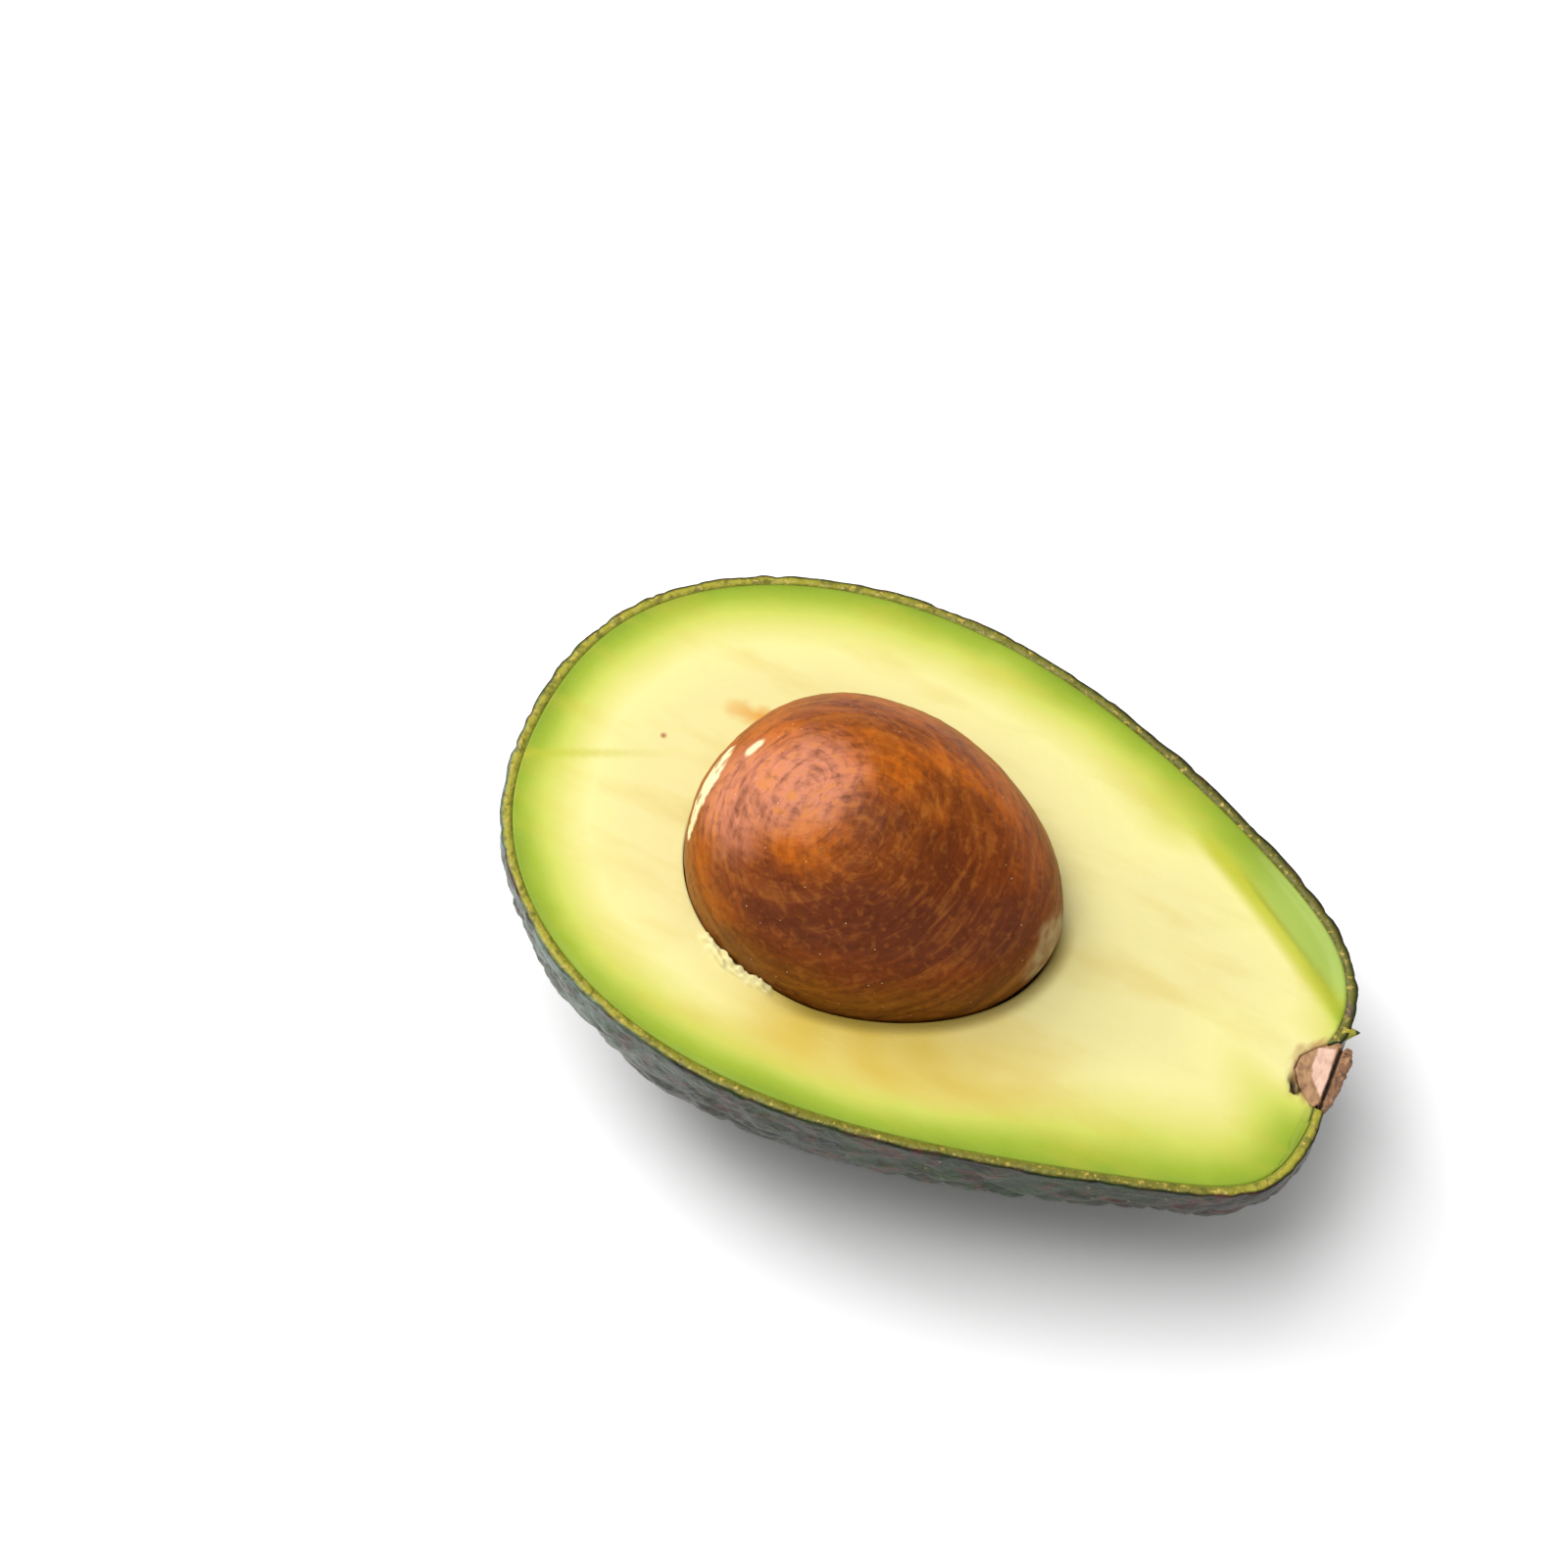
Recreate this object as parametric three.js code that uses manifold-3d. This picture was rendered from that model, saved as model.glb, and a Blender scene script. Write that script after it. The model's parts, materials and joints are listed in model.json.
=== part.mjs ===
// Half of a pebbly-skinned avocado, cut lengthwise, with its seed still in it.
// Four pieces: the peel, the flesh, the seed in its hollow and the stub of the stalk.
// Millimetres, +Z up. The half lies on its back on a small flat spot, stem end a little low.
import * as THREE from "three";
import { mergeVertices } from "three/addons/utils/BufferGeometryUtils.js";
import Module from "manifold-3d";

const wasm = await Module();
wasm.setup();

// Driving dimensions of the fruit. Its own frame has the origin in the middle of the cut face,
// +X towards the stem end, +Y across and +Z out of the cut face.
const LENGTH = 100;
const WIDTH_SCALE = 62.9;
const BACK_DEPTH_SHARE = 0.95; // the back is a little shallower than half the width

// The side profile. An angle runs from 0 at the blunt end to PI at the stem end, and these
// harmonics turn the plain ellipse into a pear with a broad belly and a square stem end.
const ENDS_SQUARENESS = -0.073;
const PROFILE_HARMONICS = [1, 0.008, -0.017, -0.095, 0.038];

// The fruit isn't quite straight: its middle line bends and its stem end leans.
const BEND = -1.22;
const END_SWAY = -1.49;
const STEM_END_LEAN = -2.2;

// The stalk sits in a dimple at the stem end.
const DIMPLE_DEPTH = 1.8;
const DIMPLE_RADIUS = 4.4;
const STALK_ACROSS = 0.2;

const PEEL_THICKNESS = 1.3;
const FIT_GAP = 0.3; // between pieces that touch on the real fruit

// Pebbles of the peel: low domes in staggered rows, coarser than the real ones
const PEBBLE_PITCH = 5.4;
const PEBBLE_HEIGHT = 1.3;
const PEBBLE_RADIUS = 3.3;
const PEBBLE_UNEVENNESS = 0.5; // share of the height that the lowest dome lacks
const PEBBLE_WANDER = 0.3; // how far a dome strays from its place, as a share of the pitch
const PEBBLE_SEED = 11;

// Where it rests, the pebbles are pressed flat: they rise to their full height between these
// heights above the table.
const PRESSED_BELOW = 0.2;
const PEBBLED_ABOVE = 2.4;

// Grid steps along and around the back
const PEEL_GRID = { along: 70, around: 44 };
const INNER_GRID = { along: 44, around: 16 };

// The seed: an egg with its narrow end towards the stalk
const SEED = {
  length: 43.6,
  width: 36.2,
  taper: 0.13,
  x: -6.6,
  y: -1.7,
  z: 1.8,
};
const SEED_STEPS = { along: 22, around: 36 };

// The stalk's stub: a plug that narrows into the flesh, a crack, and a disc of bark.
// Its places are along the fruit.
const STUB_ACROSS = -1.1;
const PLUG = { tip: 44.8, shoulder: 46.2, shoulderRadius: 2.6, end: 48.1, radius: 3.6 };
const CRACK = { middle: 48.6, radius: 2.7 };
const BARK = { start: 49.0, radius: 4.2, edge: 49.9, faceRadius: 2.6, end: 50.5 };
const STUB_STEPS = 24;

// How it lies: tipped so that the stem end is low, and sunk a little so that the spot is flat
const TIP_ANGLE = THREE.MathUtils.degToRad(7);
const ORIGIN_HEIGHT = 30.75; // of the cut face's middle above the table
const TABLE_SIZE = 200;
const CUT_MARGIN = 5; // how far a cutter stands past what it cuts

// Joining and cutting

function solidFrom(geometry) {
  const bare = geometry.clone();
  bare.deleteAttribute("normal");
  bare.deleteAttribute("uv");
  const merged = mergeVertices(bare, 1e-4);
  return new wasm.Manifold(
    new wasm.Mesh({
      numProp: 3,
      vertProperties: new Float32Array(merged.attributes.position.array),
      triVerts: new Uint32Array(merged.index.array),
    }),
  );
}

function geometryFrom(solid) {
  const { vertProperties, triVerts } = solid.getMesh();
  const geometry = new THREE.BufferGeometry();
  geometry.setAttribute("position", new THREE.BufferAttribute(vertProperties, 3));
  geometry.setIndex(new THREE.BufferAttribute(triVerts, 1));
  const faceted = geometry.toNonIndexed();
  faceted.computeVertexNormals();
  return faceted;
}

// The fruit's surface

const profile = (angle) =>
  Math.sin(angle) *
  PROFILE_HARMONICS.reduce((sum, share, n) => sum + share * Math.cos(n * angle), 0);

// A point of the smooth surface. turn goes from 0, on the +Y edge of the cut, to PI, on the -Y edge.
function smoothPoint(angle, turn) {
  const along = -(Math.cos(angle) + ENDS_SQUARENESS * Math.cos(3 * angle)) / (1 + ENDS_SQUARENESS);
  const radius = (WIDTH_SCALE / 2) * profile(angle);
  const lean = (Math.sin(angle) * (1 - Math.cos(angle)) ** 2) / 4;
  const point = new THREE.Vector3(
    (LENGTH / 2) * along + STEM_END_LEAN * lean * Math.cos(turn),
    radius * Math.cos(turn) + BEND * (along ** 2 - 1 / 3) + END_SWAY * along ** 3,
    -BACK_DEPTH_SHARE * radius * Math.sin(turn),
  );
  if (along > 0) {
    const off = Math.hypot(point.y - STALK_ACROSS, point.z) / DIMPLE_RADIUS;
    point.x -= DIMPLE_DEPTH * Math.exp(-(off ** 2));
  }
  return point;
}

function outwardNormal(angle, turn) {
  const step = 1e-3;
  const safe = THREE.MathUtils.clamp(angle, 5 * step, Math.PI - 5 * step);
  const alongway = smoothPoint(safe + step, turn).sub(smoothPoint(safe - step, turn));
  const around = smoothPoint(safe, turn + step).sub(smoothPoint(safe, turn - step));
  return alongway.cross(around).normalize();
}

const heightAboveTable = (p) =>
  ORIGIN_HEIGHT - p.x * Math.sin(TIP_ANGLE) + p.z * Math.cos(TIP_ANGLE);

// A repeatable draw from 0 to 1
function draw(i, j, which) {
  const mixed = Math.sin(i * 127.1 + j * 311.7 + which * 74.7 + PEBBLE_SEED) * 43758.5453;
  return mixed - Math.floor(mixed);
}

// The pebbles' middles, in rows around the fruit, each row half a pitch off its neighbours
function pebbleMiddles() {
  const middles = [];
  const rowStep = 0.87 * PEBBLE_PITCH;
  const probe = 1e-3;
  let angle = 0;
  for (let row = 0; angle < Math.PI; row++) {
    const halfRound = Math.PI * (WIDTH_SCALE / 2) * profile(angle);
    const count = Math.max(1, Math.round(halfRound / PEBBLE_PITCH));
    for (let k = 0; k <= count; k++) {
      const place = k + (row % 2) / 2 + PEBBLE_WANDER * (draw(row, k, 1) - 0.5) * 2;
      const middle = smoothPoint(angle, (Math.PI * place) / count);
      const height = PEBBLE_HEIGHT * (1 - PEBBLE_UNEVENNESS * draw(row, k, 2));
      middles.push({ middle, height });
    }
    const stretch = smoothPoint(angle + probe, 1).distanceTo(smoothPoint(angle, 1)) / probe;
    angle += rowStep / Math.max(stretch, LENGTH / 8);
  }
  return middles;
}
const pebbles = pebbleMiddles();

// How far the pebbled skin stands off the smooth one at a point
function pebbleRise(point) {
  let rise = 0;
  for (const { middle, height } of pebbles) {
    const off = middle.distanceTo(point) / PEBBLE_RADIUS;
    if (off < 1) rise = Math.max(rise, height * (1 - off ** 2));
  }
  const pressed = heightAboveTable(point);
  const share = THREE.MathUtils.smoothstep(pressed, PRESSED_BELOW, PEBBLED_ABOVE);
  return share * (rise - PEBBLE_HEIGHT / 2);
}

// Inside the flat spot every layer lies as deep over the table as it lies under the skin.
function pressFlat(point, depth) {
  const lift = depth - heightAboveTable(point);
  if (lift > 0) {
    point.x -= lift * Math.sin(TIP_ANGLE);
    point.z += lift * Math.cos(TIP_ANGLE);
  }
  return point;
}

// One half body: the surface at that depth under the smooth skin, closed by a flat lid
// that stands lidHeight over the cut face.
function halfBody({ depth, grid, pebbled = false, lidHeight = 0 }) {
  const { along, around } = grid;
  const positions = [];
  const index = [];
  const ids = [];
  const addPoint = (p) => positions.push(p.x, p.y, p.z) / 3 - 1;

  const gridPoint = (i, j) => {
    const atEnd = i === 0 || i === along;
    const atCut = j === 0 || j === around;
    const angle = (Math.PI * i) / along;
    const turn = atEnd ? 0 : (Math.PI * j) / around;
    const point = smoothPoint(angle, turn);
    const normal = outwardNormal(angle, turn);
    if (atEnd) normal.set(i === 0 ? -1 : 1, 0, 0);
    if (atCut) normal.setZ(0).normalize();
    point.addScaledVector(normal, (pebbled ? pebbleRise(point) : 0) - depth);
    if (atCut || atEnd) point.z = 0;
    return atCut || atEnd || pebbled ? point : pressFlat(point, depth);
  };

  for (let i = 0; i <= along; i++) {
    const atEnd = i === 0 || i === along;
    ids.push([]);
    for (let j = 0; j <= around; j++) {
      if (atEnd && j > 0) ids[i].push(ids[i][0]);
      else ids[i].push(addPoint(gridPoint(i, j)));
    }
  }
  const triangle = (a, b, c) => {
    if (a !== b && b !== c && c !== a) index.push(a, b, c);
  };
  for (let i = 0; i < along; i++) {
    for (let j = 0; j < around; j++) {
      const [a, b, c, d] = [ids[i][j], ids[i + 1][j], ids[i + 1][j + 1], ids[i][j + 1]];
      if ((i + j) % 2 === 0) {
        triangle(a, b, d);
        triangle(b, c, d);
      } else {
        triangle(a, b, c);
        triangle(a, c, d);
      }
    }
  }
  // The lid, on a low wall where it stands over the cut face
  const raised = (id) =>
    lidHeight === 0
      ? id
      : addPoint({ x: positions[3 * id], y: positions[3 * id + 1], z: lidHeight });
  const lid = ids.map((row, i) => {
    const left = raised(row[0]);
    return i === 0 || i === along ? [left, left] : [left, raised(row[around])];
  });
  for (let i = 0; i < along; i++) {
    const [l0, r0] = lid[i];
    const [l1, r1] = lid[i + 1];
    triangle(l0, r0, r1);
    triangle(l0, r1, l1);
    if (lidHeight > 0) {
      const [e0, e1] = [ids[i][0], ids[i + 1][0]];
      const [f0, f1] = [ids[i][around], ids[i + 1][around]];
      triangle(e0, l0, l1);
      triangle(e0, l1, e1);
      triangle(f0, f1, r1);
      triangle(f0, r1, r0);
    }
  }
  const geometry = new THREE.BufferGeometry();
  geometry.setAttribute("position", new THREE.Float32BufferAttribute(positions, 3));
  geometry.setIndex(index);
  return solidFrom(geometry);
}

// A turned shape lies along the fruit.
function turned(points, steps) {
  const lathe = new THREE.LatheGeometry(
    points.map(([radius, along]) => new THREE.Vector2(radius, along)),
    steps,
  );
  return lathe.rotateZ(-Math.PI / 2);
}

function seedSolid(grow) {
  const halfLength = SEED.length / 2 + grow;
  const halfWidth = SEED.width / 2 + grow;
  const points = [];
  for (let i = 0; i <= SEED_STEPS.along; i++) {
    const angle = (Math.PI * i) / SEED_STEPS.along;
    const narrowing = 1 + SEED.taper * Math.cos(angle);
    const radius = i === 0 || i === SEED_STEPS.along ? 0 : halfWidth * Math.sin(angle) * narrowing;
    points.push([radius, -halfLength * Math.cos(angle)]);
  }
  return solidFrom(turned(points, SEED_STEPS.around).translate(SEED.x, SEED.y, SEED.z));
}

function aboveCutFace() {
  const block = new THREE.BoxGeometry(2 * LENGTH, 2 * LENGTH, LENGTH);
  return solidFrom(block.translate(0, 0, LENGTH / 2));
}

function stubSolid() {
  const outline = [
    [0, PLUG.tip],
    [PLUG.shoulderRadius, PLUG.shoulder],
    [PLUG.radius, PLUG.end],
    [CRACK.radius, CRACK.middle],
    [BARK.radius, BARK.start],
    [BARK.radius, BARK.edge],
    [BARK.faceRadius, BARK.end],
    [0, BARK.end],
  ];
  const whole = turned(outline, STUB_STEPS).translate(0, STUB_ACROSS, 0);
  return solidFrom(whole).subtract(aboveCutFace());
}

// The room that the stub takes in the peel and the flesh
function stubSocket() {
  const outline = [
    [0, PLUG.tip - FIT_GAP],
    [PLUG.shoulderRadius + FIT_GAP, PLUG.shoulder - FIT_GAP],
    [BARK.radius + FIT_GAP, PLUG.end - FIT_GAP],
    [BARK.radius + FIT_GAP, BARK.end + CUT_MARGIN],
    [0, BARK.end + CUT_MARGIN],
  ];
  return solidFrom(turned(outline, STUB_STEPS).translate(0, STUB_ACROSS, 0));
}

function table() {
  const top = new THREE.BoxGeometry(TABLE_SIZE, TABLE_SIZE, CUT_MARGIN);
  top.translate(0, 0, -ORIGIN_HEIGHT - CUT_MARGIN / 2);
  return solidFrom(top.rotateY(-TIP_ANGLE));
}

// The pieces

function peelSolid() {
  const outside = halfBody({ depth: 0, grid: PEEL_GRID, pebbled: true });
  const inside = halfBody({ depth: PEEL_THICKNESS, grid: INNER_GRID, lidHeight: CUT_MARGIN });
  return outside.subtract(inside).subtract(table()).subtract(stubSocket());
}

function fleshSolid() {
  const body = halfBody({ depth: PEEL_THICKNESS + FIT_GAP, grid: INNER_GRID });
  return body.subtract(seedSolid(FIT_GAP)).subtract(stubSocket());
}

const finishes = {
  peel: { color: 0x2b3524, roughness: 0.38, metalness: 0 },
  flesh: { color: 0xe3dc74, roughness: 0.5, metalness: 0 },
  seed: { color: 0x7c3c18, roughness: 0.5, metalness: 0 },
  stem_stub: { color: 0x8a6242, roughness: 0.85, metalness: 0 },
};
const pieces = {
  peel: peelSolid(),
  flesh: fleshSolid(),
  seed: seedSolid(0),
  stem_stub: stubSolid(),
};

const avocado = new THREE.Group();
for (const [name, solid] of Object.entries(pieces)) {
  const material = new THREE.MeshStandardMaterial(finishes[name]);
  const mesh = new THREE.Mesh(geometryFrom(solid), material);
  mesh.name = name;
  avocado.add(mesh);
}
avocado.rotation.y = TIP_ANGLE;

// The frame's origin is in the middle of the part's own box, on the table.
const extent = new THREE.Box3().setFromObject(avocado, true);
const middle = extent.getCenter(new THREE.Vector3());
avocado.position.set(-middle.x, -middle.y, -extent.min.z);

export default avocado;
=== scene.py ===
"""Half of a pebbly-skinned avocado with its seed, lying cut face up on a pale floor.

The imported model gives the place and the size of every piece. Each piece is modelled anew
around it, finer, and takes the place of its plain solid.
"""

import json
import math

import bpy
import numpy as np
from mathutils import Matrix, Vector, kdtree, noise

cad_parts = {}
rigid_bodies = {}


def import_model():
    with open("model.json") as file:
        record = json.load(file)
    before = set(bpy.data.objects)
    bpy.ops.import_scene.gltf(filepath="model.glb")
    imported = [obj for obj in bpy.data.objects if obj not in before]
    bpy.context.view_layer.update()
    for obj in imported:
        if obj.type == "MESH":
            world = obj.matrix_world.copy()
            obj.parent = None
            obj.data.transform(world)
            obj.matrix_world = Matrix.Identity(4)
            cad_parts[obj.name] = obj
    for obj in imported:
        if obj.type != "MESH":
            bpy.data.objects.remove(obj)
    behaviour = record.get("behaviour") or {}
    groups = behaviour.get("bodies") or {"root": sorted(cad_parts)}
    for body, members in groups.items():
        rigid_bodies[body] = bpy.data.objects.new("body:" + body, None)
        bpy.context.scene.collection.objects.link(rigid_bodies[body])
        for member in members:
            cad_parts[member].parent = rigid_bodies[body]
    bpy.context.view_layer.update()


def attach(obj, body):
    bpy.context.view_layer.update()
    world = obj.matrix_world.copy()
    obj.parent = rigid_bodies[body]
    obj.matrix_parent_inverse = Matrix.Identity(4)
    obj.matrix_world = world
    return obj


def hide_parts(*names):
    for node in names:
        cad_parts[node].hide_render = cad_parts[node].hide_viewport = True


bl_info = {
    "name": "Avocado Half",
    "version": (1, 0, 0),
    "blender": (4, 5, 0),
    "location": "View3D > Sidebar > Avocado",
    "description": "Makes a cut avocado half: peel, flesh, seed, stalk stub and a studio stage",
    "category": "Add Mesh",
}

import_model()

MM = 0.001

# The fruit's form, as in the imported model, in millimetres. The fruit's own frame has its
# origin in the middle of the cut face, +X towards the stem end, +Y across, +Z out of the cut.
LENGTH = 100
WIDTH_SCALE = 62.9
BACK_DEPTH_SHARE = 0.95
ENDS_SQUARENESS = -0.073
PROFILE_HARMONICS = (1, 0.008, -0.017, -0.095, 0.038)
BEND = -1.22
END_SWAY = -1.49
STEM_END_LEAN = -2.2
DIMPLE_DEPTH = 1.8
DIMPLE_RADIUS = 4.4
STALK_ACROSS = 0.2
PEEL_THICKNESS = 1.3

SEED_LENGTH = 43.6
SEED_WIDTH = 36.2
SEED_TAPER = 0.13
SEED_MIDDLE = (-6.6, -1.7, 1.8)

STUB_ACROSS = -1.1
STUB_STATIONS = (
    (44.7, 0.9),
    (46.05, 2.78),
    (47.9, 4.34),
    (48.4, 4.34),
    (48.7, 3.4),
    (48.95, 4.3),
    (49.6, 4.2),
    (50.1, 2.8),
)
SOCKET_STATIONS = ((44.6, 0.9), (46.0, 2.8), (47.9, 4.4), (56.0, 4.4))

# Where the fine lines of the seed's coat swirl
SWIRL_MIDDLE = (-14.1, -5.3, 19.2)
SECOND_SWIRL_MIDDLE = (-5.8, -9.2, 18.2)

# A small brown dot on the cut face
DOT = (-35.3, 3.7, 0.0)

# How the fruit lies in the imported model's frame
TIP_ANGLE = math.radians(7)
CUT_MIDDLE = Vector((-0.03, -0.37, 30.75))


# Sizes, places and shapes


def place(points):
    """Points of the fruit's own frame, in millimetres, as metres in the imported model's frame."""
    turned = np.asarray(points, float) @ np.array(Matrix.Rotation(TIP_ANGLE, 3, "Y")).T
    return (turned + np.array(CUT_MIDDLE)) * MM


def smoothstep(start, end, value):
    """Rises smoothly from 0 at start to 1 at end, which may be the smaller of the two."""
    share = np.clip((value - start) / (end - start), 0, 1)
    return share * share * (3 - 2 * share)


def skin(angle, turn):
    """The smooth skin. angle runs from 0 at the blunt end to pi at the stem end, turn from 0
    on the cut's +Y edge round the back to pi on its -Y edge."""
    along = -(np.cos(angle) + ENDS_SQUARENESS * np.cos(3 * angle)) / (1 + ENDS_SQUARENESS)
    harmonics = sum(share * np.cos(n * angle) for n, share in enumerate(PROFILE_HARMONICS))
    radius = WIDTH_SCALE / 2 * np.sin(angle) * harmonics
    lean = np.sin(angle) * (1 - np.cos(angle)) ** 2 / 4
    x = LENGTH / 2 * along + STEM_END_LEAN * lean * np.cos(turn)
    y = radius * np.cos(turn) + BEND * (along**2 - 1 / 3) + END_SWAY * along**3
    z = -BACK_DEPTH_SHARE * radius * np.sin(turn)
    off = np.hypot(y - STALK_ACROSS, z) / DIMPLE_RADIUS
    x = x - np.where(along > 0, DIMPLE_DEPTH * np.exp(-(off**2)), 0)
    return np.stack([x, y, z], -1)


def skin_normal(angle, turn):
    step = 1e-3
    safe = np.clip(angle, 5 * step, math.pi - 5 * step)
    alongway = skin(safe + step, turn) - skin(safe - step, turn)
    around = skin(safe, turn + step) - skin(safe, turn - step)
    normal = np.cross(alongway, around)
    return normal / np.linalg.norm(normal, axis=-1, keepdims=True)


def cut_outline(depth, count=1600):
    """The closed outline, on the cut face, of the surface at that depth under the skin."""
    half = np.linspace(0, math.pi, count // 2, endpoint=False)
    angle = np.concatenate([half, math.pi - half])
    turn = np.concatenate([np.zeros(count // 2), np.full(count // 2, math.pi)])
    normal = skin_normal(angle, turn)
    normal[:, 2] = 0
    normal /= np.linalg.norm(normal, axis=1, keepdims=True)
    return (skin(angle, turn) - depth * normal)[:, :2]


def radius_towards(outline, middle, direction):
    """How far a closed outline is from a point in it, in each of the directions, in radians."""
    off = outline - middle
    heading = np.arctan2(off[:, 1], off[:, 0])
    order = np.argsort(heading)
    return np.interp(
        direction, heading[order], np.linalg.norm(off, axis=1)[order], period=2 * math.pi
    )


def seed_reach(direction):
    """How far the egg's surface is from its middle, for unit directions."""
    low = np.full(direction.shape[:-1], 5.0)
    high = np.full(direction.shape[:-1], 30.0)
    for _ in range(40):
        reach = (low + high) / 2
        share = np.clip(direction[..., 0] * reach / (SEED_LENGTH / 2), -1, 1)
        radius = SEED_WIDTH / 2 * np.sqrt(1 - share**2) * (1 - SEED_TAPER * share)
        inside = np.hypot(direction[..., 1], direction[..., 2]) * reach < radius
        inside &= np.abs(direction[..., 0]) * reach < SEED_LENGTH / 2
        low = np.where(inside, reach, low)
        high = np.where(inside, high, reach)
    return (low + high) / 2


def noise_at(points, size, octaves=3, seed=0.0):
    """Smooth noise from about -1 to 1 whose lumps are that many millimetres wide."""
    values = [
        noise.fractal(Vector(p) / size + Vector((seed, seed, seed)), 1.0, 2.0, octaves)
        for p in points
    ]
    return np.array(values)


def from_spot(points, spot):
    """How far points are from a spot."""
    return np.linalg.norm(points - np.array(spot), axis=1)


def from_outline(points, outline):
    """How far points are, as seen from above, from an outline on the cut face."""
    tree = kdtree.KDTree(len(outline))
    for i, p in enumerate(outline):
        tree.insert((p[0], p[1], 0), i)
    tree.balance()
    return np.array([tree.find((p[0], p[1], 0))[2] for p in points])


def from_line(points, corners):
    """How far points are from a line through corners, and how much of it lies behind them."""
    corners = np.array(corners, float)
    steps = np.linalg.norm(np.diff(corners, axis=0), axis=1)
    passed = np.concatenate([[0], np.cumsum(steps)])
    nearest = np.full(len(points), np.inf)
    share = np.zeros(len(points))
    for start, end, step, before in zip(corners, corners[1:], steps, passed):
        run = np.clip((points - start) @ (end - start) / step, 0, step)
        far = np.linalg.norm(points - start - run[:, None] * (end - start) / step, axis=1)
        share = np.where(far < nearest, (before + run) / passed[-1], share)
        nearest = np.minimum(far, nearest)
    return nearest, share


def depth_inside(points, corners):
    """How deep points lie in a convex outline whose corners run clockwise."""
    depth = np.full(len(points), np.inf)
    for start, end in zip(corners, corners[1:] + corners[:1]):
        ahead = np.array(end) - np.array(start)
        inward = np.array([ahead[1], -ahead[0]]) / np.linalg.norm(ahead)
        depth = np.minimum(depth, (points - np.array(start)) @ inward)
    return depth


# Meshes


def deselect_all():
    for thing in bpy.context.view_layer.objects:
        thing.select_set(False)


def only(piece):
    """Makes a piece the one selected and active object."""
    deselect_all()
    piece.select_set(True)
    bpy.context.view_layer.objects.active = piece


def corners_of(piece):
    flat = np.empty(len(piece.data.vertices) * 3)
    piece.data.vertices.foreach_get("co", flat)
    return flat.reshape(-1, 3)


def set_corners(piece, points):
    piece.data.vertices.foreach_set("co", np.asarray(points, float).ravel())
    piece.data.update()


def apply_modifier(piece, kind, **options):
    only(piece)
    modifier = piece.modifiers.new(kind.lower(), kind)
    for name, value in options.items():
        setattr(modifier, name, value)
    bpy.ops.object.modifier_apply(modifier=modifier.name)


def store(piece, name, values):
    """Keeps one number for each corner, for the material to read."""
    attribute = piece.data.attributes.new(name, "FLOAT", "POINT")
    attribute.data.foreach_set("value", np.asarray(values, np.float32))


def sphere(name, segments, rings, along_x):
    """A unit sphere whose poles lie on Z, or on X."""
    deselect_all()
    bpy.ops.mesh.primitive_uv_sphere_add(segments=segments, ring_count=rings, radius=1)
    piece = bpy.context.object
    piece.name = name
    if along_x:
        piece.rotation_euler = (0, math.pi / 2, 0)
        bpy.ops.object.transform_apply(location=False, rotation=True, scale=False)
    return piece


def turned_body(name, stations, across, vertices):
    """A body turned about a line along the fruit, extruded from station to station."""
    deselect_all()
    start, radius = stations[0]
    bpy.ops.mesh.primitive_circle_add(
        vertices=vertices,
        radius=radius,
        fill_type="NGON",
        location=(start, across, 0),
        rotation=(0, -math.pi / 2, 0),
    )
    piece = bpy.context.object
    piece.name = name
    bpy.ops.object.transform_apply(location=True, rotation=True, scale=True)
    bpy.ops.object.mode_set(mode="EDIT")
    bpy.ops.mesh.select_all(action="SELECT")
    for (before, old), (after, new) in zip(stations, stations[1:]):
        bpy.ops.mesh.extrude_region_move(TRANSFORM_OT_translate={"value": (after - before, 0, 0)})
        bpy.ops.transform.resize(
            value=(1, new / old, new / old), center_override=(after, across, 0)
        )
    bpy.ops.mesh.select_all(action="SELECT")
    bpy.ops.mesh.normals_make_consistent(inside=False)
    bpy.ops.object.mode_set(mode="OBJECT")
    return piece


def cut_away_above(piece, fill):
    """Removes what is over the cut face, for a piece still in the fruit's own frame."""
    only(piece)
    bpy.ops.object.mode_set(mode="EDIT")
    bpy.ops.mesh.select_all(action="SELECT")
    bpy.ops.mesh.bisect(
        plane_co=(0, 0, 0), plane_no=(0, 0, 1), clear_outer=True, use_fill=fill, threshold=1e-5
    )
    bpy.ops.object.mode_set(mode="OBJECT")


def cut_socket(piece):
    """Cuts the stalk's place out of a piece that is still in the fruit's own frame."""
    cutter = turned_body("socket", SOCKET_STATIONS, STUB_ACROSS, 48)
    apply_modifier(piece, "BOOLEAN", object=cutter, operation="DIFFERENCE", solver="EXACT")
    bpy.data.objects.remove(cutter)


def finish_piece(piece, node, materials):
    """Names a finished piece's place in the object and gives it its looks."""
    piece.data.materials.clear()
    for material in materials:
        piece.data.materials.append(material)
    only(piece)
    bpy.ops.object.shade_smooth()
    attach(piece, "root")
    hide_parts(node)


# Materials


def linear(code):
    """An sRGB hex code as a linear colour."""
    channels = [int(code[i : i + 2], 16) / 255 for i in (1, 3, 5)]
    return tuple(c / 12.92 if c <= 0.04045 else ((c + 0.055) / 1.055) ** 2.4 for c in channels)


def opaque(color):
    return (*color, 1.0)


# Sockets of the colour form of a Mix node
FACTOR, FIRST, SECOND, MIXED = 0, 6, 7, 2


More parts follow.
